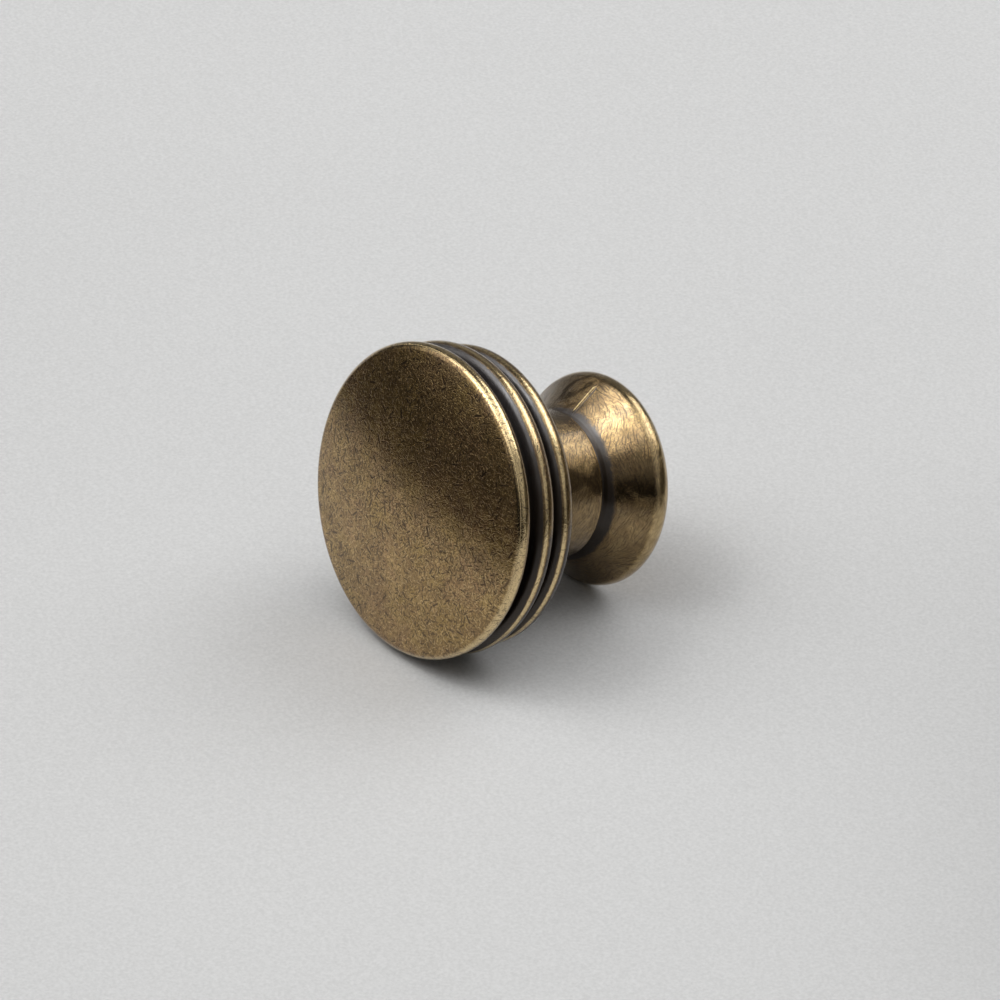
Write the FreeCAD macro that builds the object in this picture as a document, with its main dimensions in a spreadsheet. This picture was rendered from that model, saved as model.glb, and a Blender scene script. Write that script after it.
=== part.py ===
import FreeCAD, Part
import Sketcher
import math
import os

# Cabinet knob, cast and turned as one solid piece.
# The mounting face of the foot lies in the plane y = 0 and the crowned face looks to -Y.
# +Z is up, and the parting ridge of the casting runs along the top of the foot.
# Sizes are millimetres and degrees. Heights run from the mounting face towards the crown.

SIZES = {
    # Foot: rounded rim and conical flare
    "foot_radius": 10.9,
    "foot_round": 1.35,
    "foot_widest_height": 1.14,
    "flare_angle": 45.0,
    # Vee cut between foot and neck
    "flare_step": 0.1,
    "vee_foot_width": 0.6,
    "vee_neck_width": 0.5,
    "vee_depth": 0.8,
    # Neck and the hollow sweep up to the head
    "neck_radius": 7.6,
    "neck_straight": 3.8,
    "neck_edge_round": 0.4,
    "underside_land": 0.5,
    # Head: crowned face and three rounded rings with grooves between
    "face_ring_radius": 16.0,
    "face_ring_round": 0.9,
    "middle_ring_step": 0.2,
    "back_ring_step": 0.6,
    "ring_round": 1.1,
    "front_groove_width": 1.15,
    "front_groove_depth": 1.8,
    "back_groove_width": 0.75,
    "back_groove_depth": 1.7,
    "crown_radius": 90.0,
    # Parting ridge on the flare
    "ridge_rise": 0.16,
    "ridge_root": 0.4,
    "ridge_turn": 1.8,
    "ridge_end_gap": 0.2,
    # Tapped hole for the fixing screw
    "tap_drill_diameter": 3.3,
    "drilled_depth": 12.0,
    "drill_point_angle": 118.0,
}

doc = FreeCAD.newDocument("CabinetKnob")
sheet = doc.addObject("Spreadsheet::Sheet", "Sizes")
for row, (alias, value) in enumerate(SIZES.items(), start=1):
    sheet.set("A%d" % row, alias.replace("_", " "))
    sheet.set("B%d" % row, str(value))
    sheet.setAlias("B%d" % row, alias)
doc.recompute()

knob = doc.addObject("PartDesign::Body", "knob")
knob.Label = "knob"
knob.Placement = FreeCAD.Placement()

S = SIZES
ORIGIN = (-1, 1)
AXIS = -1
START, END, CENTRE = 1, 2, 3
RIGHT, TOP, LEFT, BOTTOM = 0, 90, 180, 270


def new_sketch(name, role):
    """A sketch on one of the body's own origin planes."""
    sketch = knob.newObject("Sketcher::SketchObject", name)
    plane = [feature for feature in knob.Origin.OriginFeatures if feature.Role == role][0]
    sketch.AttachmentSupport = [(plane, "")]
    sketch.MapMode = "FlatFace"
    return sketch


def tie(sketch, kind, *where):
    """A geometric constraint."""
    return sketch.addConstraint(Sketcher.Constraint(kind, *where))


def drive(sketch, kind, name, formula, *where):
    """A named dimension that follows a formula on the sheet."""
    index = tie(sketch, kind, *where)
    sketch.renameConstraint(index, name)
    sketch.setExpression("Constraints." + name, formula)


def drive_height(sketch, name, formula, geo, end):
    """Height of a point above the mounting face."""
    height = -sketch.getPoint(geo, end).x
    drive(sketch, "DistanceX", name, formula, geo, end, *ORIGIN, height)


def drive_radius(sketch, name, formula, geo, end):
    """Distance of a point from the knob's axis."""
    radius = sketch.getPoint(geo, end).y
    drive(sketch, "DistanceY", name, formula, *ORIGIN, geo, end, radius)


def drive_rise(sketch, name, formula, high, high_end, low, low_end):
    """How much higher above the mounting face one point is than another."""
    rise = sketch.getPoint(low, low_end).x - sketch.getPoint(high, high_end).x
    drive(sketch, "DistanceX", name, formula, high, high_end, low, low_end, rise)


def measure_height(sketch, name, geo, end):
    """A height that the sketch works out, kept by name for other sketches."""
    height = -sketch.getPoint(geo, end).x
    index = tie(sketch, "DistanceX", geo, end, *ORIGIN, height)
    sketch.setDriving(index, False)
    sketch.renameConstraint(index, name)


def line(sketch, a, b):
    """A straight line between two (height, radius) points."""
    ends = [FreeCAD.Vector(-height, radius, 0) for height, radius in (a, b)]
    return sketch.addGeometry(Part.LineSegment(*ends), False)


def arc(sketch, name, centre, radius, first, last, centre_formula, size_formula):
    """A round, anticlockwise between two angles, about a (height, radius) centre."""
    middle = FreeCAD.Vector(-centre[0], centre[1], 0)
    circle = Part.Circle(middle, FreeCAD.Vector(0, 0, 1), radius)
    geo = sketch.addGeometry(Part.ArcOfCircle(circle, math.radians(first), math.radians(last)), False)
    if centre_formula:
        drive_radius(sketch, name + "_centre", centre_formula, geo, CENTRE)
    drive(sketch, "Radius", name + "_size", size_formula, geo, radius)
    return geo


def half_round(sketch, name, centre, size, first, centre_formula, size_formula):
    """A half circle with both ends level with its centre: a ring, or a groove's floor."""
    geo = arc(sketch, name, centre, size, first, first + LEFT, centre_formula, size_formula)
    tie(sketch, "Horizontal", geo, START, geo, CENTRE)
    tie(sketch, "Horizontal", geo, END, geo, CENTRE)
    return geo


def wall(sketch, low, low_end, high, high_end, direction=None):
    """A straight line that joins two rounds, upright in the sketch where asked."""
    a = sketch.getPoint(low, low_end)
    b = sketch.getPoint(high, high_end)
    geo = line(sketch, (-a.x, a.y), (-b.x, b.y))
    tie(sketch, "Coincident", geo, START, low, low_end)
    tie(sketch, "Coincident", geo, END, high, high_end)
    if direction:
        tie(sketch, direction, geo)
    return geo


# Where each form starts, worked out once from the sizes
flare_turn = math.radians(S["flare_angle"])
flare_root_radius = S["neck_radius"] - S["flare_step"]
foot_centre_radius = S["foot_radius"] - S["foot_round"]
flare_foot_radius = foot_centre_radius + S["foot_round"] * math.cos(flare_turn)
flare_foot_height = S["foot_widest_height"] + S["foot_round"] * math.sin(flare_turn)
flare_root_height = flare_foot_height + (flare_foot_radius - flare_root_radius) / math.tan(flare_turn)
vee_height = flare_root_height + S["vee_foot_width"]
vee_radius = S["neck_radius"] - S["vee_depth"]
neck_edge_height = vee_height + S["vee_neck_width"] + S["neck_edge_round"]
neck_top_height = neck_edge_height + S["neck_straight"]
middle_ring_radius = S["face_ring_radius"] - S["middle_ring_step"]
back_ring_radius = middle_ring_radius - S["back_ring_step"]
sweep_radius = back_ring_radius - S["ring_round"] - S["underside_land"] - S["neck_radius"]
back_ring_height = neck_top_height + sweep_radius + S["ring_round"]
back_groove_height = back_ring_height + S["ring_round"] + S["back_groove_width"] / 2
middle_ring_height = back_groove_height + S["back_groove_width"] / 2 + S["ring_round"]
front_groove_height = middle_ring_height + S["ring_round"] + S["front_groove_width"] / 2
face_ring_height = front_groove_height + S["front_groove_width"] / 2 + S["face_ring_round"]

MIDDLE_RING = "(Sizes.face_ring_radius - Sizes.middle_ring_step)"
BACK_RING = "(" + MIDDLE_RING + " - Sizes.back_ring_step)"
FLARE_ROOT = "(Sizes.neck_radius - Sizes.flare_step)"

# Half-section of the whole knob, from the mounting face round to the crown
section = new_sketch("half_section", "YZ_Plane")

rim_start = math.acos(S["foot_widest_height"] / S["foot_round"])
mounting_radius = foot_centre_radius + S["foot_round"] * math.sin(rim_start)
mounting_line = line(section, (0, 0), (0, mounting_radius))
foot_rim = arc(section, "foot_rim", (S["foot_widest_height"], foot_centre_radius), S["foot_round"],
               math.degrees(rim_start), TOP + S["flare_angle"],
               "Sizes.foot_radius - Sizes.foot_round", "Sizes.foot_round")
drive_height(section, "foot_widest_height", "Sizes.foot_widest_height", foot_rim, CENTRE)
tie(section, "Coincident", mounting_line, START, *ORIGIN)
tie(section, "Vertical", mounting_line)
tie(section, "Coincident", mounting_line, END, foot_rim, START)

flare = line(section, (flare_foot_height, flare_foot_radius), (flare_root_height, flare_root_radius))
tie(section, "Tangent", foot_rim, END, flare, START)
drive_radius(section, "flare_root_radius", FLARE_ROOT, flare, END)
drive(section, "Angle", "flare_slope", "Sizes.flare_angle", AXIS, START, flare, END, flare_turn)
measure_height(section, "flare_foot_height", flare, START)
measure_height(section, "flare_root_height", flare, END)

vee_side = line(section, (flare_root_height, flare_root_radius), (vee_height, vee_radius))
tie(section, "Coincident", flare, END, vee_side, START)
drive_rise(section, "vee_foot_width", "Sizes.vee_foot_width", vee_side, END, flare, END)
drive_radius(section, "vee_radius", "Sizes.neck_radius - Sizes.vee_depth", vee_side, END)

neck_edge = arc(section, "neck_edge", (neck_edge_height, S["neck_radius"] - S["neck_edge_round"]),
                S["neck_edge_round"], RIGHT, TOP,
                "Sizes.neck_radius - Sizes.neck_edge_round", "Sizes.neck_edge_round")
tie(section, "Horizontal", neck_edge, START, neck_edge, CENTRE)
tie(section, "Vertical", neck_edge, END, neck_edge, CENTRE)
drive_rise(section, "vee_neck_width", "Sizes.vee_neck_width", neck_edge, START, vee_side, END)
wall(section, vee_side, END, neck_edge, START)

sweep = arc(section, "sweep", (neck_top_height, S["neck_radius"] + sweep_radius), sweep_radius,
            LEFT, BOTTOM, "",
            BACK_RING + " - Sizes.ring_round - Sizes.underside_land - Sizes.neck_radius")
tie(section, "Vertical", sweep, END, sweep, CENTRE)
tie(section, "Horizontal", sweep, START, sweep, CENTRE)
drive_rise(section, "neck_straight", "Sizes.neck_straight", sweep, END, neck_edge, END)
wall(section, neck_edge, END, sweep, END, "Horizontal")

back_ring = half_round(section, "back_ring",
                       (back_ring_height, back_ring_radius - S["ring_round"]), S["ring_round"], RIGHT,
                       BACK_RING + " - Sizes.ring_round", "Sizes.ring_round")
wall(section, sweep, START, back_ring, START, "Vertical")

back_floor = half_round(section, "back_groove",
                        (back_groove_height,
                         back_ring_radius - S["back_groove_depth"] + S["back_groove_width"] / 2),
                        S["back_groove_width"] / 2, LEFT,
                        BACK_RING + " - Sizes.back_groove_depth + Sizes.back_groove_width / 2",
                        "Sizes.back_groove_width / 2")
wall(section, back_ring, END, back_floor, END, "Vertical")

middle_ring = half_round(section, "middle_ring",
                         (middle_ring_height, middle_ring_radius - S["ring_round"]), S["ring_round"],
                         RIGHT, MIDDLE_RING + " - Sizes.ring_round", "Sizes.ring_round")
wall(section, back_floor, START, middle_ring, START, "Vertical")

front_floor = half_round(section, "front_groove",
                         (front_groove_height,
                          middle_ring_radius - S["front_groove_depth"] + S["front_groove_width"] / 2),
                         S["front_groove_width"] / 2, LEFT,
                         MIDDLE_RING + " - Sizes.front_groove_depth + Sizes.front_groove_width / 2",
                         "Sizes.front_groove_width / 2")
wall(section, middle_ring, END, front_floor, END, "Vertical")

face_centre_radius = S["face_ring_radius"] - S["face_ring_round"]
crown_reach = math.sqrt((S["crown_radius"] - S["face_ring_round"]) ** 2 - face_centre_radius ** 2)
crown_meets = math.degrees(math.atan2(face_centre_radius, -crown_reach))
face_ring = arc(section, "face_ring", (face_ring_height, face_centre_radius), S["face_ring_round"],
                RIGHT, crown_meets,
                "Sizes.face_ring_radius - Sizes.face_ring_round", "Sizes.face_ring_round")
tie(section, "Horizontal", face_ring, START, face_ring, CENTRE)
wall(section, front_floor, START, face_ring, START, "Vertical")

crown = arc(section, "crown", (face_ring_height - crown_reach, 0), S["crown_radius"],
            crown_meets, LEFT, "", "Sizes.crown_radius")
tie(section, "Tangent", face_ring, END, crown, START)
tie(section, "PointOnObject", crown, CENTRE, AXIS)
tie(section, "PointOnObject", crown, END, AXIS)
wall(section, crown, END, mounting_line, START)

turned = knob.newObject("PartDesign::Revolution", "turned_form")
turned.Profile = section
turned.ReferenceAxis = (section, ["H_Axis"])
turned.Angle = 360
section.Visibility = False
doc.recompute()

# Parting ridge: a narrow band that stands proud of the flare at the top of the foot
ridge_section = new_sketch("ridge_section", "YZ_Plane")

ROOT_HEIGHT = "(half_section.Constraints.flare_root_height / 1 mm)"
FOOT_HEIGHT = "(half_section.Constraints.flare_foot_height / 1 mm)"
ridge_top_height = flare_root_height - S["ridge_end_gap"]
ridge_foot_height = flare_foot_height + S["ridge_end_gap"]
ridge_top_formula = ROOT_HEIGHT + " - Sizes.ridge_end_gap"
ridge_foot_formula = FOOT_HEIGHT + " + Sizes.ridge_end_gap"


def flare_radius_at(height):
    return flare_root_radius + (flare_root_height - height) * math.tan(flare_turn)


def flare_formula_at(height_formula):
    return FLARE_ROOT + " + (" + ROOT_HEIGHT + " - (" + height_formula + ")) * tan(Sizes.flare_angle)"


ridge_corners = [
    ("top_crest", ridge_top_height, ridge_top_formula, S["ridge_rise"], " + Sizes.ridge_rise"),
    ("foot_crest", ridge_foot_height, ridge_foot_formula, S["ridge_rise"], " + Sizes.ridge_rise"),
    ("foot_root", ridge_foot_height, ridge_foot_formula, -S["ridge_root"], " - Sizes.ridge_root"),
    ("top_root", ridge_top_height, ridge_top_formula, -S["ridge_root"], " - Sizes.ridge_root"),
]
corner_points = [(height, flare_radius_at(height) + offset) for _, height, _, offset, _ in ridge_corners]
ridge_sides = []
for here, there in zip(corner_points, corner_points[1:] + corner_points[:1]):
    ridge_sides.append(line(ridge_section, here, there))
for side, before, corner in zip(ridge_sides, ridge_sides[-1:] + ridge_sides[:-1], ridge_corners):
    name, _, height_formula, _, offset_formula = corner
    tie(ridge_section, "Coincident", before, END, side, START)
    drive_height(ridge_section, name + "_height", height_formula, side, START)
    drive_radius(ridge_section, name + "_radius", flare_formula_at(height_formula) + offset_formula,
                 side, START)

ridge = knob.newObject("PartDesign::Revolution", "parting_ridge")
ridge.Profile = ridge_section
ridge.ReferenceAxis = (ridge_section, ["H_Axis"])
ridge.Midplane = True
ridge.Angle = S["ridge_turn"]
ridge.setExpression("Angle", "Sizes.ridge_turn")
ridge_section.Visibility = False
doc.recompute()

# Tapped blind hole in the mounting face, drilled with a pointed end
hole_centre = new_sketch("hole_centre", "XZ_Plane")
drill_circle = Part.Circle(FreeCAD.Vector(), FreeCAD.Vector(0, 0, 1), S["tap_drill_diameter"] / 2)
drill_mark = hole_centre.addGeometry(drill_circle, False)
tie(hole_centre, "Coincident", drill_mark, CENTRE, *ORIGIN)
drive(hole_centre, "Diameter", "drill", "Sizes.tap_drill_diameter", drill_mark, S["tap_drill_diameter"])

screw_hole = knob.newObject("PartDesign::Hole", "screw_hole")
screw_hole.Profile = hole_centre
doc.recompute()
screw_hole.Reversed = True
screw_hole.ThreadType = "None"
screw_hole.DepthType = "Dimension"
screw_hole.DrillPoint = "Angled"
screw_hole.Diameter = S["tap_drill_diameter"]
screw_hole.Depth = S["drilled_depth"]
screw_hole.DrillPointAngle = S["drill_point_angle"]
screw_hole.setExpression("Diameter", "Sizes.tap_drill_diameter")
screw_hole.setExpression("Depth", "Sizes.drilled_depth")
screw_hole.setExpression("DrillPointAngle", "Sizes.drill_point_angle")
hole_centre.Visibility = False
knob.Tip = screw_hole
doc.recompute()

if screw_hole.Shape.Volume >= ridge.Shape.Volume:
    raise RuntimeError("the screw hole cuts nothing")
if ridge.Shape.Volume <= turned.Shape.Volume:
    raise RuntimeError("the parting ridge adds nothing")
for thing in doc.Objects:
    if "Invalid" in thing.State or "Error" in thing.State:
        raise RuntimeError(thing.Name + " is not built: " + ", ".join(thing.State))
if knob.Shape.isNull() or not knob.Shape.isValid():
    raise RuntimeError("knob has no valid solid")

os.makedirs("parts", exist_ok=True)
knob.Shape.exportStep("parts/knob.step")
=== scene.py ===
"""Antique brass cabinet knob: the turned body, the thread in its screw hole, the finish and the studio."""
import math

import bpy
import numpy as np
from mathutils import Matrix, Vector


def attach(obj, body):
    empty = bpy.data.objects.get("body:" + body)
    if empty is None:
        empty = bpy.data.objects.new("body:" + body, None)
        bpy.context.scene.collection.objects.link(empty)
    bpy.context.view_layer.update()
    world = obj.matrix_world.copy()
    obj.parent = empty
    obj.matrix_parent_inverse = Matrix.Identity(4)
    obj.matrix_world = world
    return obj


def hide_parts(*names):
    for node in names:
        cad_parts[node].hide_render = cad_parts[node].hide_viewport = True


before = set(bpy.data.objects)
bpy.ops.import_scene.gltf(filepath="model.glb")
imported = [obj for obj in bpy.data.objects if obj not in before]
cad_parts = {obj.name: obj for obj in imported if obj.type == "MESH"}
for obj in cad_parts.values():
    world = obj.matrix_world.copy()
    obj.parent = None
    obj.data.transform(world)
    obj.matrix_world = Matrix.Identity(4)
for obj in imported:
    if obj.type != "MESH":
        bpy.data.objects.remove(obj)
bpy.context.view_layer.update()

MM = 0.001

# The half section, in millimetres. Heights run from the mounting face towards the crown,
# radii from the knob's axis.
FOOT_RADIUS = 10.9
FOOT_ROUND = 1.35
FOOT_WIDEST_HEIGHT = 1.14
FLARE_STEP = 0.1
VEE_FOOT_WIDTH = 0.6
VEE_NECK_WIDTH = 0.5
VEE_DEPTH = 0.8
VEE_FLOOR_HALF = 0.06
VEE_FLOOR_RISE = 0.05
NECK_RADIUS = 7.6
NECK_STRAIGHT = 3.8
NECK_EDGE_ROUND = 0.4
UNDERSIDE_LAND = 0.5
FACE_RING_RADIUS = 16.0
FACE_RING_ROUND = 0.9
MIDDLE_RING_STEP = 0.2
BACK_RING_STEP = 0.6
RING_ROUND = 1.1
FRONT_GROOVE_WIDTH = 1.15
FRONT_GROOVE_DEPTH = 1.8
BACK_GROOVE_WIDTH = 0.75
BACK_GROOVE_DEPTH = 1.7
CROWN_RADIUS = 90.0
DRILL_RADIUS = 1.65
DRILL_DEPTH = 12.0
DRILL_POINT = 59.0
THREAD_RADIUS = 2.02
THREAD_PITCH = 0.7
THREAD_DEPTH = 10.0
MOUTH_BEVEL = 0.35
FACE_EDGE_ROW = 0.06

# Shares of the thread's pitch: how much its ridge falls short of its depth, where it starts, and half
# its width at the root and at the crest. The sink is a share of the ridge's height.
THREAD_SHORTFALL = 1.6
THREAD_START = 0.8
THREAD_ROOT_HALF = 0.46
THREAD_CREST_HALF = 0.07
THREAD_SINK = 0.12

# Radii that part the screw hole from the foot and neck, and these from the head
HOLE_LIMIT = 4.0
HEAD_LIMIT = 12.0

TURNING_STEPS = 320

# The marks of the finish are laid out flat in millimetres, round the head and round the neck and foot
# at these radii.
HEAD_GIRTH = 15.0
FOOT_GIRTH = 8.5


# Section

class Section:
    """The half section as points, each with how worn, how tarnished and how brushed it is there. Tarnish
    above 1 paints shade deep in the vee.
    """

    def __init__(self):
        self.points = []
        self.finish = []
        self.face = []
        self.ridged = []

    def add(self, height, radius, worn=0.0, tarnish=0.0, brushed=0.0, face=0.0):
        self.points.append((height, radius))
        self.finish.append((worn, tarnish, brushed))
        self.face.append(face)
        # The turning steps crowd towards the parting ridge: fully on the flare, not in the hole or head
        in_hole = radius < HOLE_LIMIT
        self.ridged.append(0.0 if in_hole else ease(height, -2.0, 1.0) * ease(height, 10.0, 6.3))

    def line(self, start, end, steps, **finish):
        """Points from start towards end, the last one left to what follows."""
        for step in range(steps):
            share = step / steps
            self.add(start[0] + (end[0] - start[0]) * share,
                     start[1] + (end[1] - start[1]) * share, **finish)

    def arc(self, centre, radius, first, last, steps, finish):
        """A round; finish gives the worn, tarnish and brushed values at a point of it."""
        for step in range(steps):
            turn = math.radians(first + (last - first) * step / steps)
            height = centre[0] + radius * math.cos(turn)
            reach = centre[1] + radius * math.sin(turn)
            self.add(height, reach, **finish(height, reach))


def ease(value, low, high):
    """A soft step from 0 at low to 1 at high."""
    share = min(max((value - low) / (high - low), 0.0), 1.0)
    return share * share * (3.0 - 2.0 * share)


def knob_section():
    section = Section()
    # Screw hole, from the drill point out to its mouth
    tip = DRILL_DEPTH + DRILL_RADIUS / math.tan(math.radians(DRILL_POINT))
    section.line((tip, 0.0), (DRILL_DEPTH, DRILL_RADIUS), 4, worn=0.3)
    section.line((DRILL_DEPTH, DRILL_RADIUS), (THREAD_DEPTH + 0.3, DRILL_RADIUS), 4, worn=0.3)
    section.line((THREAD_DEPTH + 0.3, DRILL_RADIUS), (THREAD_DEPTH, THREAD_RADIUS), 2, worn=0.3)
    section.line((THREAD_DEPTH, THREAD_RADIUS), (MOUTH_BEVEL, THREAD_RADIUS), 12, worn=0.3)
    section.line((MOUTH_BEVEL, THREAD_RADIUS), (0.0, THREAD_RADIUS + MOUTH_BEVEL), 3, worn=0.5)
    # Mounting face and the foot's rounded rim
    widest = FOOT_RADIUS - FOOT_ROUND
    rim = (FOOT_WIDEST_HEIGHT, widest)
    start = math.degrees(math.acos(-FOOT_WIDEST_HEIGHT / FOOT_ROUND))
    edge = widest + math.sqrt(FOOT_ROUND ** 2 - FOOT_WIDEST_HEIGHT ** 2)
    section.line((0.0, THREAD_RADIUS + MOUTH_BEVEL), (0.0, edge - FACE_EDGE_ROW), 16, worn=0.15, face=1.0)
    section.line((0.0, edge - FACE_EDGE_ROW), (0.0, edge), 1, worn=0.15)
    section.arc(rim, FOOT_ROUND, start, 45.0, 18,
                lambda h, r: dict(worn=0.5 * ease(r, 10.3, 10.85), brushed=0.7))
    # Conical flare, vee cut and the neck's rounded edge
    flare_top = FOOT_WIDEST_HEIGHT + FOOT_ROUND * math.sqrt(0.5)
    flare_reach = widest + FOOT_ROUND * math.sqrt(0.5)
    vee_reach = NECK_RADIUS - FLARE_STEP
    vee_start = flare_top + flare_reach - vee_reach
    vee_floor = vee_start + VEE_FOOT_WIDTH
    edge_start = vee_floor + VEE_NECK_WIDTH
    vee_bottom = NECK_RADIUS - VEE_DEPTH + VEE_FLOOR_RISE
    for step in range(24):
        share = step / 24
        near_vee = ease(share, 0.74, 1.0)
        section.add(flare_top + (vee_start - flare_top) * share,
                    flare_reach + (vee_reach - flare_reach) * share,
                    worn=0.22 * (1.0 - near_vee), tarnish=0.68 * near_vee, brushed=1.0)
    # Tarnish above 1 marks the deep of the vee, where painted shade makes the oxide reflect less
    for step in range(8):
        share = step / 8
        section.add(vee_start + (vee_floor - VEE_FLOOR_HALF - vee_start) * share,
                    vee_reach + (vee_bottom - vee_reach) * share,
                    tarnish=0.80 + 0.75 * ease(share, 0.10, 0.75), brushed=1.0)
    section.line((vee_floor - VEE_FLOOR_HALF, vee_bottom), (vee_floor + VEE_FLOOR_HALF, vee_bottom), 2,
                 tarnish=1.5)
    edge_reach = NECK_RADIUS - NECK_EDGE_ROUND
    section.line((vee_floor + VEE_FLOOR_HALF, vee_bottom), (edge_start, edge_reach), 4, tarnish=1.3)
    section.arc((edge_start + NECK_EDGE_ROUND, edge_reach), NECK_EDGE_ROUND, 180.0, 90.0, 8,
                lambda h, r: dict(worn=0.9 * ease(r, 7.2, 7.5), brushed=0.5,
                                  tarnish=1.0 - ease(r, 7.1, 7.28)))
    # Neck and the hollow sweep up to the underside of the head
    neck_start = edge_start + NECK_EDGE_ROUND
    neck_end = neck_start + NECK_STRAIGHT
    section.line((neck_start, NECK_RADIUS), (neck_end, NECK_RADIUS), 12, worn=0.22, brushed=1.0)
    middle_reach = FACE_RING_RADIUS - MIDDLE_RING_STEP
    back_reach = FACE_RING_RADIUS - MIDDLE_RING_STEP - BACK_RING_STEP
    underside_reach = back_reach - RING_ROUND - UNDERSIDE_LAND
    sweep = underside_reach - NECK_RADIUS
    section.arc((neck_end, underside_reach), sweep, -90.0, 0.0, 22,
                lambda h, r: dict(tarnish=0.95 * ease(r, 7.8, 9.1), worn=0.2 * (1.0 - ease(r, 7.7, 8.3)),
                                  brushed=1.0 - 0.5 * ease(r, 8.0, 10.0)))
    underside = neck_end + sweep
    back_centre = back_reach - RING_ROUND
    section.line((underside, underside_reach), (underside, back_centre), 2, tarnish=0.6)

    def ring_finish(ring_height, ring_centre):
        """Rubbed gold in a line on the face side of the crest, dull beside it, black into the grooves."""
        def finish(h, r):
            slant = math.degrees(math.atan2(h - ring_height, r - ring_centre))
            line = ease(slant, 1.0, 10.0) * ease(slant, 31.0, 21.0)
            dull = max(0.5 * ease(slant, 7.0, -3.0), 0.5 * ease(slant, 21.0, 28.0))
            return dict(worn=0.9 * line, brushed=0.35 + 0.65 * ease(slant, 25.0, 45.0),
                        tarnish=max(ease(slant, 28.0, 44.0), ease(slant, -32.0, -62.0), dull))
        return finish

    # Back ring and the groove before it
    back_height = underside + RING_ROUND
    section.arc((back_height, back_centre), RING_ROUND, 180.0, 0.0, 36,
                ring_finish(back_height, back_centre))
    back_floor = BACK_GROOVE_WIDTH / 2
    floor_reach = back_reach - BACK_GROOVE_DEPTH + back_floor
    groove = back_height + RING_ROUND
    section.line((groove, back_centre), (groove, floor_reach), 2, tarnish=1.0, brushed=1.0)
    section.arc((groove + back_floor, floor_reach), back_floor, 180.0, 360.0, 12,
                lambda h, r: dict(tarnish=1.0, brushed=1.0))
    # Middle ring and the groove before it
    groove = groove + BACK_GROOVE_WIDTH
    middle_centre = middle_reach - RING_ROUND
    section.line((groove, floor_reach), (groove, middle_centre), 3, tarnish=1.0, brushed=1.0)
    middle_height = groove + RING_ROUND
    section.arc((middle_height, middle_centre), RING_ROUND, 180.0, 0.0, 36,
                ring_finish(middle_height, middle_centre))
    front_floor = FRONT_GROOVE_WIDTH / 2
    floor_reach = middle_reach - FRONT_GROOVE_DEPTH + front_floor
    groove = middle_height + RING_ROUND
    section.line((groove, middle_centre), (groove, floor_reach), 2, tarnish=1.0, brushed=1.0)
    section.arc((groove + front_floor, floor_reach), front_floor, 180.0, 360.0, 14,
                lambda h, r: dict(tarnish=1.0, brushed=1.0))
    # Face ring and crown
    groove = groove + FRONT_GROOVE_WIDTH
    face_centre = FACE_RING_RADIUS - FACE_RING_ROUND
    section.line((groove, floor_reach), (groove, face_centre), 3, tarnish=1.0, brushed=1.0)
    face_height = groove + FACE_RING_ROUND
    slope = math.degrees(math.asin(face_centre / (CROWN_RADIUS - FACE_RING_ROUND)))
    section.arc((face_height, face_centre), FACE_RING_ROUND, 180.0, 90.0, 18,
                lambda h, r: dict(worn=0.75 * ease(h - face_height, -0.24, -0.03), brushed=0.35,
                                  tarnish=ease(face_height - h, 0.48, 0.76)))
    section.arc((face_height, face_centre), FACE_RING_ROUND, 90.0, slope, 16,
                lambda h, r: dict(worn=0.75 * ease(r, 15.35, 15.85), brushed=0.2, face=ease(r, 15.9, 15.6)))
    join = face_centre + FACE_RING_ROUND * math.sin(math.radians(slope))
    centre = face_height - (CROWN_RADIUS - FACE_RING_ROUND) * math.cos(math.radians(slope))
    for step in range(26):
        reach = join * (1.0 - step / 26)
        section.add(centre + math.sqrt(CROWN_RADIUS ** 2 - reach ** 2), reach,
                    worn=0.12 * ease(reach, 14.0, 15.3), face=1.0)
    section.add(centre + CROWN_RADIUS, 0.0, face=1.0)
    return section


# Geometry Nodes

# Lengths in metres: how the parting ridge runs out at its ends, and how near the points of the seam lie
RIDGE_RUN_OUT = 0.0004
SEAM_REACH = 1e-7


def fill(tree, node, values):
    """Gives each named input of a node its value, or links it to the socket that is given."""
    for socket, value in values.items():
        target = node.inputs[socket]
        if isinstance(value, bpy.types.NodeSocket):
            tree.links.new(value, target)
        else:
            target.default_value = value


def put(tree, kind, values=None, **settings):
    """Adds a node, sets its options, and fills or links its inputs."""
    made = tree.nodes.new(kind)
    for option, value in settings.items():
        setattr(made, option, value)
    fill(tree, made, values or {})
    return made


def maths(tree, operation, first, second=0.0, third=0.0):
    return put(tree, "ShaderNodeMath", {0: first, 1: second, 2: third}, operation=operation).outputs[0]


def vectors(tree, operation, first, second=(0.0, 0.0, 0.0)):
    return put(tree, "ShaderNodeVectorMath", {0: first, 1: second}, operation=operation).outputs[0]


def ramp(tree, value, low, high, to_low=0.0, to_high=1.0, kind="SMOOTHSTEP"):
    return put(tree, "ShaderNodeMapRange", {"Value": value, "From Min": low, "From Max": high,
                                            "To Min": to_low, "To Max": to_high},
               interpolation_type=kind).outputs[0]


def new_geometry_tree(name, inputs):
    """A Geometry Nodes tree whose named inputs are the sizes it needs."""
    tree = bpy.data.node_groups.new(name, "GeometryNodeTree")
    for label, kind, value in inputs:
        socket = tree.interface.new_socket(label, in_out="INPUT", socket_type=kind)
        if value is not None:
            socket.default_value = value
    tree.interface.new_socket("Geometry", in_out="OUTPUT", socket_type="NodeSocketGeometry")
    return tree, tree.nodes.new("NodeGroupInput").outputs


def finish_tree(tree, geometry, material, smooth=True):
    """Shade, realize and give the material, then hand the geometry out."""
    shaded = put(tree, "GeometryNodeSetShadeSmooth", {"Geometry": geometry, "Shade Smooth": smooth})
    whole = put(tree, "GeometryNodeRealizeInstances", {"Geometry": shaded.outputs[0]})
    dressed = put(tree, "GeometryNodeSetMaterial", {"Geometry": whole.outputs[0], "Material": material})
    put(tree, "NodeGroupOutput", {"Geometry": dressed.outputs[0]})


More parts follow.
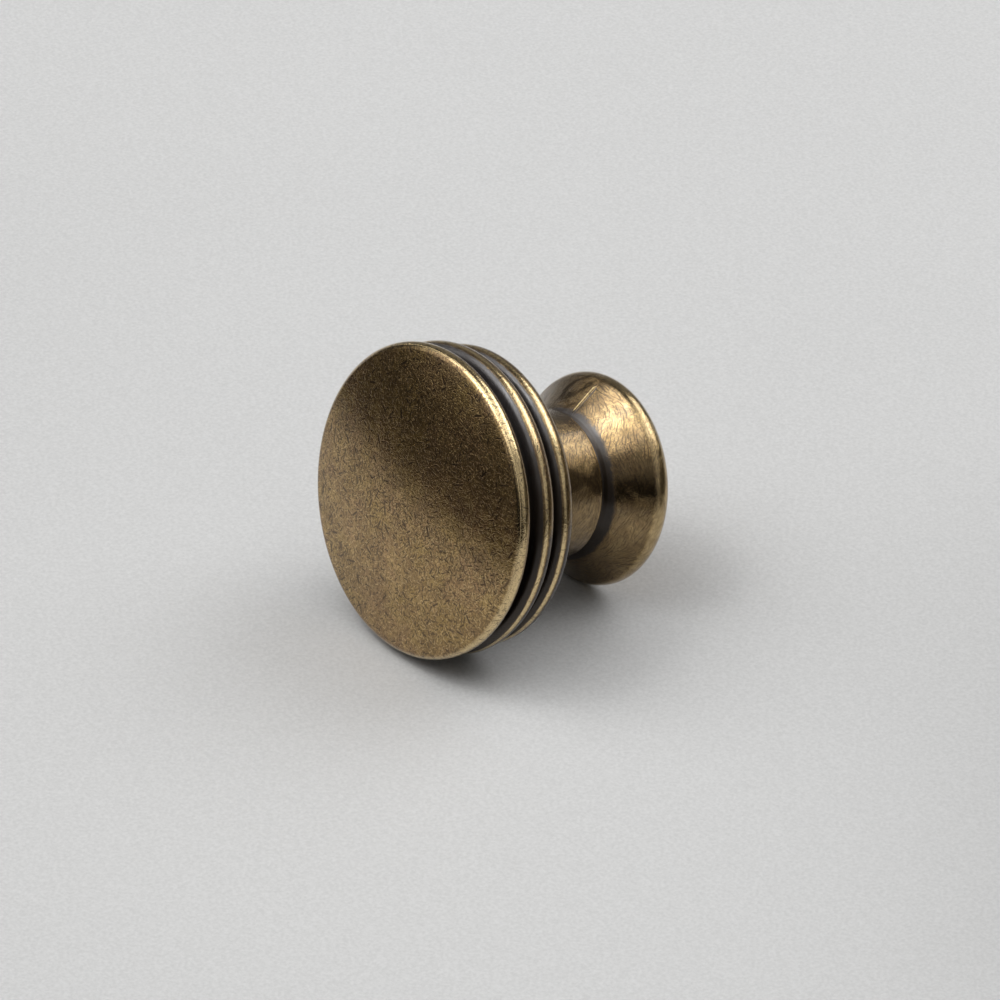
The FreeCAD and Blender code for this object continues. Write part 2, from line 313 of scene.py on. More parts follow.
def turned_body_tree():
    """Turns the half section about the knob's axis and raises the parting ridge on the flare."""
    tree, given = new_geometry_tree("turned body", [
        ("Section", "NodeSocketGeometry", None),
        ("Section Points", "NodeSocketInt", 2),
        ("Turning Steps", "NodeSocketInt", TURNING_STEPS),
        ("Crowding at Ridge", "NodeSocketFloat", 0.85),
        ("Ridge Rise", "NodeSocketFloat", 0.00016),
        ("Ridge Half Turn", "NodeSocketFloat", math.radians(1.0)),
        ("Ridge Foot Height", "NodeSocketFloat", 0.0024),
        ("Ridge Vee Height", "NodeSocketFloat", 0.0054),
        ("Finish", "NodeSocketMaterial", None),
    ])
    # A flat sheet: each column becomes the half section at one turn, each row one of its points
    sheet = put(tree, "GeometryNodeMeshGrid", {
        "Size X": 1.0, "Size Y": 1.0,
        "Vertices X": maths(tree, "ADD", given["Turning Steps"], 1.0),
        "Vertices Y": given["Section Points"]})
    index = put(tree, "GeometryNodeInputIndex").outputs[0]
    rows = given["Section Points"]
    column = maths(tree, "FLOOR", maths(tree, "DIVIDE", maths(tree, "ADD", index, 0.5), rows))
    row = maths(tree, "SUBTRACT", index, maths(tree, "MULTIPLY", column, rows))
    share = maths(tree, "MULTIPLY", maths(tree, "DIVIDE", column, given["Turning Steps"]), 2.0 * math.pi)

    def from_section(kind, value):
        return put(tree, "GeometryNodeSampleIndex",
                   {"Geometry": given["Section"], "Value": value, "Index": row}, data_type=kind).outputs[0]

    def named(kind, label):
        return put(tree, "GeometryNodeInputNamedAttribute", {"Name": label}, data_type=kind).outputs[0]

    crowding = maths(tree, "MULTIPLY", given["Crowding at Ridge"],
                     from_section("FLOAT", named("FLOAT", "ridged")))
    turn = maths(tree, "SUBTRACT", share, maths(tree, "MULTIPLY", maths(tree, "SINE", share), crowding))
    place = put(tree, "ShaderNodeSeparateXYZ",
                {0: from_section("FLOAT_VECTOR", put(tree, "GeometryNodeInputPosition").outputs[0])}).outputs
    off = maths(tree, "MINIMUM", maths(tree, "ABSOLUTE", turn),
                maths(tree, "ABSOLUTE", maths(tree, "SUBTRACT", turn, 2.0 * math.pi)))
    width = given["Ridge Half Turn"]
    crest = ramp(tree, off, width, 0.0)
    foot_end, vee_end = given["Ridge Foot Height"], given["Ridge Vee Height"]
    present = maths(tree, "MULTIPLY",
                    ramp(tree, place[1], foot_end, maths(tree, "ADD", foot_end, RIDGE_RUN_OUT)),
                    ramp(tree, place[1], vee_end, maths(tree, "SUBTRACT", vee_end, RIDGE_RUN_OUT)))
    rise = maths(tree, "MULTIPLY", maths(tree, "MULTIPLY", crest, given["Ridge Rise"]), present)
    half = maths(tree, "MULTIPLY", rise, math.sqrt(0.5))
    reach = maths(tree, "ADD", place[0], half)
    height = maths(tree, "ADD", place[1], half)
    spot = put(tree, "ShaderNodeCombineXYZ", {
        0: maths(tree, "MULTIPLY", reach, maths(tree, "SINE", turn)),
        1: maths(tree, "MULTIPLY", height, -1.0),
        2: maths(tree, "MULTIPLY", reach, maths(tree, "COSINE", turn))}).outputs[0]
    form = put(tree, "GeometryNodeSetPosition",
               {"Geometry": sheet.outputs["Mesh"], "Position": spot}).outputs[0]
    # The ridge's crest is rubbed bright, and a dark line lies beside it on its +X side only
    from_corner = maths(tree, "ABSOLUTE", maths(tree, "SUBTRACT", turn, maths(tree, "MULTIPLY", width, 1.7)))
    corner = ramp(tree, from_corner, maths(tree, "MULTIPLY", width, 0.95), 0.0)
    kept = put(tree, "ShaderNodeSeparateXYZ",
               {0: from_section("FLOAT_VECTOR", named("FLOAT_VECTOR", "finish"))}).outputs
    finish = put(tree, "ShaderNodeCombineXYZ", {
        0: maths(tree, "ADD", maths(tree, "MULTIPLY", crest, present), kept[0]),
        1: maths(tree, "MULTIPLY_ADD", maths(tree, "MULTIPLY", corner, present), 0.95, kept[1]),
        2: kept[2]}).outputs[0]
    form = put(tree, "GeometryNodeStoreNamedAttribute",
               {"Geometry": form, "Name": "finish", "Value": finish},
               data_type="FLOAT_VECTOR", domain="POINT").outputs[0]
    # The chart for the marks of the finish: unrolled on the turned sides, straight across on the faces
    around = put(tree, "ShaderNodeCombineXYZ", {
        0: maths(tree, "MULTIPLY", turn, from_section("FLOAT", named("FLOAT", "girth"))),
        1: from_section("FLOAT", named("FLOAT", "along"))}).outputs[0]
    flat_place = put(tree, "ShaderNodeSeparateXYZ", {0: spot}).outputs
    across = put(tree, "ShaderNodeCombineXYZ", {
        0: maths(tree, "MULTIPLY", flat_place[0], 1000.0),
        1: maths(tree, "MULTIPLY", flat_place[2], 1000.0)}).outputs[0]
    facing = maths(tree, "GREATER_THAN", from_section("FLOAT", named("FLOAT", "face")), 0.5)
    mapped = put(tree, "ShaderNodeMix", {0: facing, 4: around, 5: across}, data_type="VECTOR").outputs[1]
    at_points = put(tree, "GeometryNodeFieldOnDomain", {0: mapped},
                    data_type="FLOAT_VECTOR", domain="POINT").outputs[0]
    form = put(tree, "GeometryNodeStoreNamedAttribute",
               {"Geometry": form, "Name": "Millimetres", "Value": at_points},
               data_type="FLOAT2", domain="CORNER").outputs[0]
    closed = put(tree, "GeometryNodeMergeByDistance", {"Geometry": form, "Distance": SEAM_REACH}).outputs[0]
    outward = put(tree, "GeometryNodeFlipFaces", {"Mesh": closed}).outputs[0]
    finish_tree(tree, outward, given["Finish"])
    return tree


def thread_tree():
    """A vee-shaped ridge that winds up the screw hole."""
    tree, given = new_geometry_tree("screw thread", [
        ("Pitch", "NodeSocketFloat", THREAD_PITCH * MM),
        ("Depth", "NodeSocketFloat", THREAD_DEPTH * MM),
        ("Root Radius", "NodeSocketFloat", THREAD_RADIUS * MM),
        ("Crest Radius", "NodeSocketFloat", DRILL_RADIUS * MM),
        ("Finish", "NodeSocketMaterial", None),
    ])
    length = maths(tree, "SUBTRACT", given["Depth"],
                   maths(tree, "MULTIPLY", given["Pitch"], THREAD_SHORTFALL))
    path = put(tree, "GeometryNodeCurveSpiral", {
        "Resolution": 40, "Rotations": maths(tree, "DIVIDE", length, given["Pitch"]),
        "Start Radius": given["Root Radius"], "End Radius": given["Root Radius"],
        "Height": length})
    upright = put(tree, "GeometryNodeSetCurveNormal", {"Curve": path.outputs[0]}, mode="Z_UP").outputs[0]
    tall = maths(tree, "SUBTRACT", given["Root Radius"], given["Crest Radius"])
    sunk = maths(tree, "MULTIPLY", tall, -THREAD_SINK)
    half = maths(tree, "MULTIPLY", given["Pitch"], THREAD_ROOT_HALF)
    crest = maths(tree, "MULTIPLY", given["Pitch"], THREAD_CREST_HALF)
    root = put(tree, "GeometryNodeCurvePrimitiveQuadrilateral", {}, mode="POINTS")
    corners = ((sunk, maths(tree, "MULTIPLY", half, -1.0)),
               (tall, maths(tree, "MULTIPLY", crest, -1.0)),
               (tall, crest),
               (sunk, half))
    for number, (inward, rise) in enumerate(corners, start=1):
        corner = put(tree, "ShaderNodeCombineXYZ", {0: inward, 1: rise}).outputs[0]
        tree.links.new(corner, root.inputs["Point %d" % number])
    ridge = put(tree, "GeometryNodeCurveToMesh",
                {"Curve": upright, "Profile Curve": root.outputs[0], "Fill Caps": True}).outputs[0]
    start = maths(tree, "MULTIPLY", given["Pitch"], -THREAD_START)
    place = put(tree, "ShaderNodeCombineXYZ", {1: start}).outputs[0]
    laid = put(tree, "GeometryNodeTransform", {"Geometry": ridge, "Translation": place,
                                               "Rotation": (math.radians(90.0), 0.0, 0.0)}).outputs[0]
    finish_tree(tree, laid, given["Finish"], smooth=False)
    return tree


def grow(name, tree, source, inputs):
    """Runs a tree on a source mesh and keeps the result as a plain mesh object."""
    seed = bpy.data.objects.new(name + "_seed", source)
    bpy.context.scene.collection.objects.link(seed)
    modifier = seed.modifiers.new("nodes", "NODES")
    modifier.node_group = tree
    sockets = {item.name: item.identifier for item in tree.interface.items_tree if item.in_out == "INPUT"}
    for label, value in inputs.items():
        modifier[sockets[label]] = value
    bpy.context.view_layer.update()
    graph = bpy.context.evaluated_depsgraph_get()
    mesh = bpy.data.meshes.new_from_object(seed.evaluated_get(graph), depsgraph=graph)
    seed.modifiers.remove(modifier)
    bpy.data.objects.remove(seed)
    mesh.name = name
    made = bpy.data.objects.new(name, mesh)
    bpy.context.scene.collection.objects.link(made)
    return made


def section_mesh(section):
    """The half section as a string of points that carry their finish."""
    mesh = bpy.data.meshes.new("half_section")
    points = np.array(section.points)
    mesh.from_pydata([(radius * MM, height * MM, 0.0) for height, radius in section.points], [], [])
    steps = np.hypot(*np.diff(points, axis=0).T)
    along = np.concatenate([[0.0], np.cumsum(steps)])
    radii = np.maximum(points[:, 1], 0.5)
    girth = np.where(radii > HEAD_LIMIT, HEAD_GIRTH, np.where(radii < HOLE_LIMIT, radii, FOOT_GIRTH))
    carried = {"along": along, "girth": girth, "face": section.face, "ridged": section.ridged}
    for label, values in carried.items():
        attribute = mesh.attributes.new(label, "FLOAT", "POINT")
        attribute.data.foreach_set("value", np.asarray(values, dtype=float))
    finish = mesh.attributes.new("finish", "FLOAT_VECTOR", "POINT")
    finish.data.foreach_set("vector", np.array(section.finish).ravel())
    return mesh


# Materials

OLIVE_BRASS = (0.54, 0.365, 0.118, 1.0)
PINK_BRASS = (0.60, 0.378, 0.178, 1.0)
YELLOW_BRASS = (0.75, 0.515, 0.205, 1.0)
RUBBED_BRASS = (0.72, 0.55, 0.29, 1.0)
BURR_BRASS = (0.84, 0.62, 0.31, 1.0)
BRUSHED_BRASS = (0.18, 0.122, 0.056, 1.0)
BRUSH_SHADE = (0.12, 0.076, 0.035, 1.0)
BROWN_STAIN = (0.30, 0.185, 0.10, 1.0)
DARK_GRAIN = (0.22, 0.138, 0.056, 1.0)
NICK_DIRT = (0.065, 0.041, 0.025, 1.0)
OXIDE = (0.027, 0.019, 0.013, 1.0)
# Painted sheen: a lighter grey laid on the groove oxide towards the top
OXIDE_PAINTED_SHEEN = (0.060, 0.055, 0.055, 1.0)
SPECK_DARK = (0.10, 0.10, 0.10, 1.0)
SPECK_PALE = (1.08, 1.08, 1.075, 1.0)
CARD_BROWN = (0.10, 0.092, 0.08, 1.0)
BACKDROP_LEVEL = 0.56


def shader_tree(name):
    material = bpy.data.materials.new(name)
    material.use_nodes = True
    tree = material.node_tree
    tree.nodes.clear()
    return material, tree


def blend_colour(tree, share, first, second):
    return put(tree, "ShaderNodeMix", {0: share, 6: first, 7: second}, data_type="RGBA").outputs[2]


def noise(tree, where, scale, detail=2.0, roughness=0.5):
    return put(tree, "ShaderNodeTexNoise", {"Vector": where, "Scale": scale, "Detail": detail,
                                            "Roughness": roughness}).outputs[0]


def nick_group():
    """Short straight nicks, one at most in each cell and turned at random. Lengths are in millimetres."""
    tree = bpy.data.node_groups.new("nicks", "ShaderNodeTree")
    tree.interface.new_socket("Vector", in_out="INPUT", socket_type="NodeSocketVector")
    for label in ("Cell", "Length", "Width", "Share", "Fan", "Lean"):
        tree.interface.new_socket(label, in_out="INPUT", socket_type="NodeSocketFloat")
    tree.interface.new_socket("Nick", in_out="OUTPUT", socket_type="NodeSocketFloat")
    given = tree.nodes.new("NodeGroupInput").outputs
    cells = put(tree, "ShaderNodeVectorMath",
                {0: given["Vector"], 3: maths(tree, "DIVIDE", 1.0, given["Cell"])},
                operation="SCALE").outputs[0]
    voronoi = put(tree, "ShaderNodeTexVoronoi", {"Vector": cells, "Scale": 1.0, "Randomness": 1.0},
                  voronoi_dimensions="2D", feature="F1")
    away = put(tree, "ShaderNodeVectorMath",
               {0: vectors(tree, "SUBTRACT", cells, voronoi.outputs["Position"]), 3: given["Cell"]},
               operation="SCALE").outputs[0]
    chance = put(tree, "ShaderNodeSeparateColor", {0: voronoi.outputs["Color"]}).outputs
    angle = maths(tree, "MULTIPLY_ADD", maths(tree, "SUBTRACT", chance[0], 0.5), given["Fan"], given["Lean"])
    turned = put(tree, "ShaderNodeVectorRotate", {"Vector": away, "Angle": angle},
                 rotation_type="Z_AXIS").outputs[0]
    # Each nick has a slight bow, a length and a width of its own
    local = put(tree, "ShaderNodeSeparateXYZ", {0: turned}).outputs
    bowed = maths(tree, "ADD", local[1],
                  maths(tree, "MULTIPLY", maths(tree, "MULTIPLY", local[0], local[0]),
                        maths(tree, "MULTIPLY", maths(tree, "SUBTRACT", chance[1], 0.5), 0.08)))
    reach = maths(tree, "MULTIPLY", given["Length"], maths(tree, "MULTIPLY_ADD", chance[1], 0.35, 0.15))
    end = maths(tree, "SUBTRACT", 1.0, maths(tree, "DIVIDE", maths(tree, "ABSOLUTE", local[0]), reach))
    half = maths(tree, "MULTIPLY", given["Width"], maths(tree, "MULTIPLY_ADD", chance[1], 0.4, 0.35))
    side = maths(tree, "SUBTRACT", 1.0, maths(tree, "DIVIDE", maths(tree, "ABSOLUTE", bowed), half))
    shape = maths(tree, "MULTIPLY", ramp(tree, end, 0.0, 0.45), ramp(tree, side, 0.0, 0.8))
    there = maths(tree, "LESS_THAN", chance[2], given["Share"])
    put(tree, "NodeGroupOutput", {"Nick": maths(tree, "MULTIPLY", shape, there)})
    return tree


def antique_brass():
    """Brass darkened with oxide, rubbed bright where a hand reaches, the oxide left in nicks and grooves.
    The oxide has a painted sheen towards the top and painted shade towards the bottom and deep in the vee.
    """
    material, tree = shader_tree("antique_brass")
    nicks = nick_group()
    place = put(tree, "ShaderNodeTexCoord").outputs["Object"]
    metric = put(tree, "ShaderNodeVectorMath", {0: place, 3: 1000.0}, operation="SCALE").outputs[0]
    chart = put(tree, "ShaderNodeUVMap", uv_map="Millimetres").outputs[0]
    finish = put(tree, "ShaderNodeSeparateXYZ",
                 {0: put(tree, "ShaderNodeAttribute", attribute_name="finish").outputs["Vector"]}).outputs
    up = put(tree, "ShaderNodeSeparateXYZ", {0: metric}).outputs[2]
    # Painted shade: towards the bottom, where the knob lies in shade, the oxide reaches further out of the
    # cuts
    low = ramp(tree, up, 4.0, -2.0, 1.0, 1.5)
    worn, tarnish, brushed = finish[0], maths(tree, "MULTIPLY", finish[1], low), finish[2]

    def nick(cell, length, width, share, fan=2.0 * math.pi, lean=0.0, shift=(0.0, 0.0, 0.0)):
        layer = put(tree, "ShaderNodeGroup", node_tree=nicks)
        fill(tree, layer, {"Vector": vectors(tree, "ADD", chart, shift), "Cell": cell, "Length": length,
                           "Width": width, "Share": share, "Fan": fan, "Lean": lean})
        return layer.outputs[0]

    cloud = noise(tree, metric, 0.22, 3.0, 0.6)
    patch = noise(tree, vectors(tree, "ADD", metric, (31.0, 7.0, 12.0)), 0.75, 4.0, 0.65)
    grain = noise(tree, metric, 4.6, 2.0, 0.6)
    fine = noise(tree, metric, 11.0, 1.0, 0.5)

    # Nicks of the face, and the slant strokes of the brush on the turned sides
    plain = maths(tree, "SUBTRACT", 1.0, brushed)
    patchy = ramp(tree, noise(tree, metric, 0.35, 1.0), 0.35, 0.65, 0.25, 0.8)
    deep = nick(1.7, 1.4, 0.27, 0.42)
    middle = maths(tree, "MAXIMUM", nick(0.75, 0.95, 0.17, patchy),
                   nick(0.62, 0.80, 0.15, patchy, shift=(17.3, 5.1, 0.0)))
    burr = nick(0.42, 0.85, 0.10, 0.85, shift=(21.9, 2.3, 0.0))
    small = maths(tree, "MAXIMUM", nick(0.38, 0.55, 0.12, 0.95, shift=(3.3, 8.7, 0.0)),
                  nick(0.32, 0.45, 0.11, 0.95, shift=(9.1, 1.7, 0.0)))
    scars = maths(tree, "MAXIMUM", deep, maths(tree, "MAXIMUM", maths(tree, "MULTIPLY", middle, 0.95),
                                                maths(tree, "MULTIPLY", small, 0.55)))
    scars = maths(tree, "MULTIPLY", scars, maths(tree, "MULTIPLY_ADD", plain, 0.75, 0.25))
    lean = ramp(tree, noise(tree, metric, 0.22, 1.0), 0.32, 0.68, -0.75, 0.45)
    strokes = maths(tree, "MAXIMUM", nick(0.85, 2.0, 0.12, 0.9, 0.3, lean),
                    nick(0.55, 1.3, 0.10, 0.9, 0.35, lean, (8.3, 2.9, 0.0)))
    strokes = maths(tree, "MULTIPLY", strokes, brushed)
    slant = put(tree, "ShaderNodeVectorRotate", {"Vector": chart, "Angle": lean},
                rotation_type="Z_AXIS").outputs[0]
    brush = noise(tree, vectors(tree, "MULTIPLY", slant, (0.42, 6.0, 1.0)), 1.0, 2.0, 0.7)
    brush = maths(tree, "MULTIPLY", maths(tree, "SUBTRACT", brush, 0.5), brushed)
    marks = maths(tree, "MAXIMUM", scars, maths(tree, "MULTIPLY", strokes, 0.7))

    # Oxide left on the brass
    rubbed = maths(tree, "ADD", worn, maths(tree, "MULTIPLY", maths(tree, "SUBTRACT", patch, 0.5), 0.5))
    rubbed = ramp(tree, maths(tree, "MULTIPLY", rubbed, ramp(tree, worn, 0.0, 0.15)), 0.1, 0.95)
    uneven = maths(tree, "MULTIPLY_ADD", maths(tree, "SUBTRACT", grain, 0.5), 0.35,
                   maths(tree, "MULTIPLY_ADD", maths(tree, "SUBTRACT", patch, 0.5), 0.5,
                         maths(tree, "MULTIPLY", brush, 0.6)))
    black = ramp(tree, maths(tree, "ADD", tarnish, uneven), 0.35, 0.8)

    olive = blend_colour(tree, ramp(tree, cloud, 0.38, 0.62), OLIVE_BRASS, PINK_BRASS)
    aged = blend_colour(tree, ramp(tree, patch, 0.38, 0.66, 0.0, 0.8), olive, YELLOW_BRASS)
    stain = noise(tree, metric, 0.42, 3.0, 0.6)
    aged = blend_colour(tree, ramp(tree, stain, 0.40, 0.62, 0.5, 0.0), aged, BROWN_STAIN)
    aged = blend_colour(tree, ramp(tree, grain, 0.40, 0.62, 0.6, 0.0), aged, DARK_GRAIN)
    aged = blend_colour(tree, maths(tree, "MULTIPLY", brushed, 0.7), aged, BRUSHED_BRASS)
    aged = blend_colour(tree, ramp(tree, brush, -0.08, 0.12, 0.0, 0.8), aged, BRUSH_SHADE)
    bright = maths(tree, "MULTIPLY", burr, maths(tree, "MULTIPLY", plain, 0.55))
    aged = blend_colour(tree, bright, aged, BURR_BRASS)
    gold = blend_colour(tree, rubbed, aged, RUBBED_BRASS)
    brown = blend_colour(tree, maths(tree, "MULTIPLY", marks, 0.88), gold, NICK_DIRT)
    # Painted sheen: the oxide in the grooves is painted a lighter grey towards the top, where the lights
    # fall, except deep in the vee
    upper = ramp(tree, up, 3.5, 14.0)
    # Painted shade deep in the vee: the oxide there gets less painted sheen and reflects less
    painted_vee_shade = ramp(tree, finish[1], 1.05, 1.45)
    painted_sheen = maths(tree, "MULTIPLY", upper,
                  ramp(tree, maths(tree, "ADD", patch, brush), 0.34, 0.62, 0.35, 1.0))
    painted_sheen = maths(tree, "MULTIPLY", painted_sheen, maths(tree, "MULTIPLY_ADD", painted_vee_shade, -0.6, 1.0))
    oxide = blend_colour(tree, painted_sheen, OXIDE, OXIDE_PAINTED_SHEEN)
    colour = blend_colour(tree, black, brown, oxide)

    glassy = maths(tree, "MULTIPLY", black, maths(tree, "MULTIPLY_ADD", painted_vee_shade, -0.45, 0.6))
    # Painted shade: towards the bottom the oxide is made more metallic, so it reflects less and looks darker
    glassy = maths(tree, "MULTIPLY", glassy, maths(tree, "MULTIPLY_ADD", low, -1.7, 2.7))
    metal = maths(tree, "SUBTRACT", 1.0, glassy)
    rough = maths(tree, "ADD", ramp(tree, patch, 0.3, 0.7, 0.14, 0.20, "LINEAR"),
                  maths(tree, "SUBTRACT", maths(tree, "MULTIPLY", black, 0.16),
                        maths(tree, "MULTIPLY", rubbed, 0.05)))

    # Relief, in millimetres
    waves = noise(tree, metric, 0.55, 1.0)
    height = maths(tree, "MULTIPLY_ADD", brush, 0.015, maths(tree, "MULTIPLY", marks, -0.009))
    for bumps, rise in ((grain, 0.006), (bright, 0.004), (fine, 0.002), (waves, 0.022)):
        height = maths(tree, "ADD", height, maths(tree, "MULTIPLY", bumps, rise))
    relief = put(tree, "ShaderNodeBump", {"Strength": 1.0, "Distance": MM, "Height": height}).outputs[0]
    shader = put(tree, "ShaderNodeBsdfPrincipled", {
        "Base Color": colour, "Metallic": metal, "Roughness": rough, "Normal": relief,
        "IOR": 1.6, "Coat Weight": 0.32, "Coat Roughness": 0.15, "Coat IOR": 1.6})
    put(tree, "ShaderNodeOutputMaterial", {"Surface": shader.outputs[0]})
    return material


def clear_to_camera(tree, shader, share):
    """Lets the camera see through a stage surface to the pale backdrop. Its light and shade stay."""
    seen = maths(tree, "MULTIPLY", put(tree, "ShaderNodeLightPath").outputs["Is Camera Ray"], share)
    clear = put(tree, "ShaderNodeBsdfTransparent")
    mixed = put(tree, "ShaderNodeMixShader", {0: seen, 1: shader.outputs[0], 2: clear.outputs[0]})
    put(tree, "ShaderNodeOutputMaterial", {"Surface": mixed.outputs[0]})


def pale_tile():
    """Matt pale grey glazed tile with a faint speckle, lost in the backdrop far off."""
    material, tree = shader_tree("pale_tile")
    place = put(tree, "ShaderNodeTexCoord").outputs["Object"]
    speck = noise(tree, place, 2600.0, 2.0, 0.6)
    soft = noise(tree, place, 9.0, 2.0, 0.5)
    tone = maths(tree, "ADD", ramp(tree, speck, 0.3, 0.7, -0.04, 0.04, "LINEAR"),
                 ramp(tree, soft, 0.3, 0.7, -0.01, 0.01, "LINEAR"))
    colour = blend_colour(tree, maths(tree, "ADD", tone, 0.425), SPECK_DARK, SPECK_PALE)
    shader = put(tree, "ShaderNodeBsdfPrincipled",
                 {"Base Color": colour, "Roughness": 0.6, "Specular IOR Level": 0.3})
    reach = put(tree, "ShaderNodeVectorMath", {0: place}, operation="LENGTH").outputs["Value"]
    far = ramp(tree, reach, 0.22, 0.75)
    clear_to_camera(tree, shader, far)
    return material


def dark_card():
    """Dull brown of the cards that the knob reflects beside the lights."""
    material, tree = shader_tree("dark_card")
    shader = put(tree, "ShaderNodeBsdfPrincipled",
                 {"Base Color": CARD_BROWN, "Roughness": 0.9, "Specular IOR Level": 0.1})
    clear_to_camera(tree, shader, 1.0)
    return material


# Pieces

brass = antique_brass()
section = knob_section()
knob = grow("turned_knob", turned_body_tree(), section_mesh(section), {
    "Section Points": len(section.points), "Finish": brass})
thread = grow("hole_thread", thread_tree(), bpy.data.meshes.new("thread_start"), {"Finish": brass})
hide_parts("knob")
for piece in (knob, thread):
    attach(piece, "root")

# Studio

# The knob lies on the tile on the edge of its head and the rim of its foot.
FLOOR_UP = Vector((0.1061, -0.2538, 0.9615)).normalized()
FLOOR_DROP = -10.298 * MM
# The camera's place and its three axes
VIEW_FROM = Vector((677.475, -632.726, 297.847)) * MM
VIEW_RIGHT = Vector((0.634985, 0.760354, 0.136588))
VIEW_UP = Vector((-0.323036, 0.100733, 0.941010))
VIEW_BACK = Vector((0.701742, -0.641650, 0.309585))

camera_data = bpy.data.cameras.new("camera")
camera_data.lens = 345.6
camera_data.sensor_width = 36.0
camera_data.clip_start = 0.01
camera_data.clip_end = 50.0
camera = bpy.data.objects.new("camera", camera_data)
bpy.context.scene.collection.objects.link(camera)
camera_axes = Matrix((VIEW_RIGHT, VIEW_UP, VIEW_BACK)).transposed().to_4x4()
camera.matrix_world = Matrix.Translation(VIEW_FROM) @ camera_axes
bpy.context.scene.camera = camera

AWAY = (-VIEW_BACK - FLOOR_UP * (-VIEW_BACK).dot(FLOOR_UP)).normalized()
ASIDE = AWAY.cross(FLOOR_UP).normalized()


def heading(around, above):
    """A direction: degrees round from straight away towards the right, and degrees above the floor."""
    turn, lift = math.radians(around), math.radians(above)
    level = AWAY * math.cos(turn) + ASIDE * math.sin(turn)
    return level * math.cos(lift) + FLOOR_UP * math.sin(lift)


def stage_mesh(name, points, faces, material):
    mesh = bpy.data.meshes.new(name)
    mesh.from_pydata([tuple(point) for point in points], [], faces)
    mesh.materials.append(material)
    made = bpy.data.objects.new(name, mesh)
    bpy.context.scene.collection.objects.link(made)
    return made


FLOOR_REACH = 2.1
FLOOR_SIDES = 96
under_knob = FLOOR_UP * FLOOR_DROP
floor_points = [under_knob] + [under_knob + heading(360.0 * side / FLOOR_SIDES, 0.0) * FLOOR_REACH
                               for side in range(FLOOR_SIDES)]
floor_faces = [(0, 1 + (side + 1) % FLOOR_SIDES, 1 + side) for side in range(FLOOR_SIDES)]
stage_mesh("tile_floor", floor_points, floor_faces, pale_tile())


dark = dark_card()


def card(name, around, distance, width, tall):
    """A dark card that stands on the tile beside the knob, square to it and out of the picture."""
    middle = under_knob + heading(around, 0.0) * distance
    across = heading(around + 90.0, 0.0) * (width / 2)
    rise = FLOOR_UP * tall
    corners = [middle - across, middle + across, middle + across + rise, middle - across + rise]
    return stage_mesh(name, corners, [(0, 1, 2, 3)], dark)


card("card_left", around=-97.0, distance=0.120, width=0.185, tall=0.036)
card("card_right", around=104.0, distance=0.085, width=0.10, tall=0.055)


LIGHT_DISTANCE = 1.0
LIGHT_AIM = 0.015


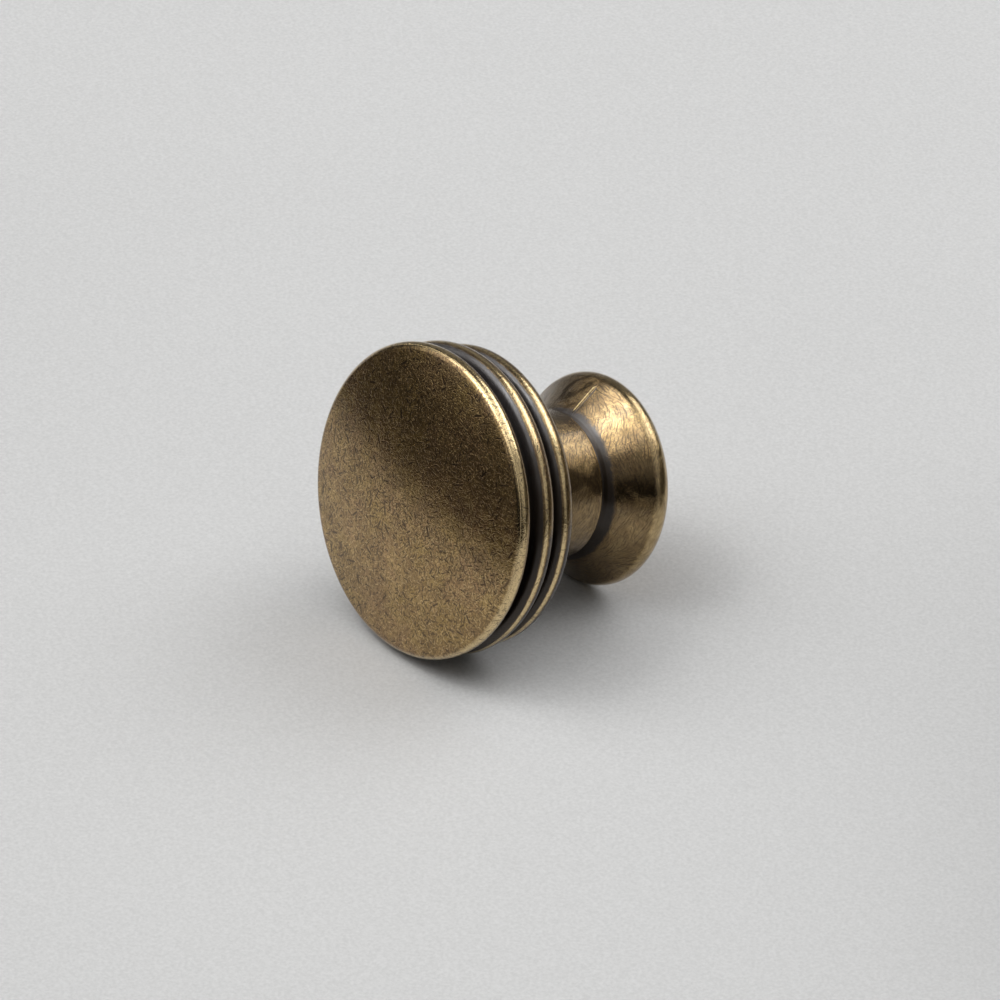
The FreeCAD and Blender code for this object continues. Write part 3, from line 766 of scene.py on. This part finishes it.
def softbox(name, around, above, width, tall, edge, middle, core, shape):
    """A soft light aimed at the knob, with the brightness of its edges, its middle and the lamp's core."""
    data = bpy.data.lights.new(name, "AREA")
    data.shape = shape
    data.size = width
    data.size_y = tall
    # Energy in proportion to the area, so that the levels alone set the brightness
    data.energy = math.pi * width * tall * (math.pi / 4.0 if shape == "ELLIPSE" else 1.0)
    data.use_nodes = True
    glow = data.node_tree
    glow.nodes.clear()
    spot = put(glow, "ShaderNodeNewGeometry").outputs["Parametric"]
    centred = vectors(glow, "SUBTRACT", spot, (0.5, 0.5, 0.0))
    flat = vectors(glow, "MULTIPLY", centred, (1.0, 1.0, 0.0))
    out = put(glow, "ShaderNodeVectorMath", {0: flat}, operation="LENGTH").outputs["Value"]
    level = maths(glow, "MAXIMUM", ramp(glow, out, 0.22, 0.5, middle, edge),
                  ramp(glow, out, 0.05, 0.15, core, 0.0))
    shine = put(glow, "ShaderNodeEmission", {"Color": (1.0, 1.0, 1.0, 1.0), "Strength": level})
    put(glow, "ShaderNodeOutputLight", {"Surface": shine.outputs[0]})
    made = bpy.data.objects.new(name, data)
    bpy.context.scene.collection.objects.link(made)
    toward = heading(around, above)
    aside = toward.cross(FLOOR_UP if above < 85.0 else AWAY).normalized()
    upward = aside.cross(toward).normalized()
    place = under_knob + FLOOR_UP * LIGHT_AIM + toward * LIGHT_DISTANCE
    made.matrix_world = Matrix.Translation(place) @ Matrix((aside, upward, toward)).transposed().to_4x4()


softbox("left_light", around=-102.0, above=62.0, width=1.42, tall=0.96,
        edge=0.6, middle=2.8, core=11.0, shape="ELLIPSE")
softbox("right_light", around=60.0, above=47.0, width=0.84, tall=0.56,
        edge=2.9, middle=3.1, core=6.0, shape="RECTANGLE")
softbox("top_light", around=105.0, above=74.0, width=0.90, tall=0.80,
        edge=0.9, middle=1.5, core=0.0, shape="ELLIPSE")

world = bpy.data.worlds.new("room")
bpy.context.scene.world = world
world.use_nodes = True
room = world.node_tree
room.nodes.clear()
direction = put(room, "ShaderNodeTexCoord").outputs["Generated"]


def glow_toward(around, above, start, full, dim, bright):
    """Brightness that grows from dim to bright as a direction nears the heading."""
    near = put(room, "ShaderNodeVectorMath", {0: direction, 1: tuple(heading(around, above))},
               operation="DOT_PRODUCT").outputs["Value"]
    return ramp(room, near, start, full, dim, bright)


beyond_knob = glow_toward(20.0, 5.0, 0.15, 0.95, 0.015, 0.23)
under_left_light = glow_toward(-89.0, 36.0, 0.78, 0.98, 0.0, 1.1)
beside_left_light = glow_toward(-158.0, 48.0, 0.86, 1.0, 0.0, 0.3)
camera_side = glow_toward(125.0, 42.0, 0.65, 1.0, 0.0, 0.45)
level = maths(room, "ADD", maths(room, "ADD", beyond_knob, camera_side),
              maths(room, "ADD", under_left_light, beside_left_light))
seen = put(room, "ShaderNodeLightPath").outputs["Is Camera Ray"]
backdrop = put(room, "ShaderNodeMix", {0: seen, 2: level, 3: BACKDROP_LEVEL}, data_type="FLOAT").outputs[0]
shade = put(room, "ShaderNodeBackground", {"Color": (1.0, 1.0, 1.0, 1.0), "Strength": backdrop})
put(room, "ShaderNodeOutputWorld", {"Surface": shade.outputs[0]})

scene = bpy.context.scene
scene.view_settings.view_transform = "Standard"
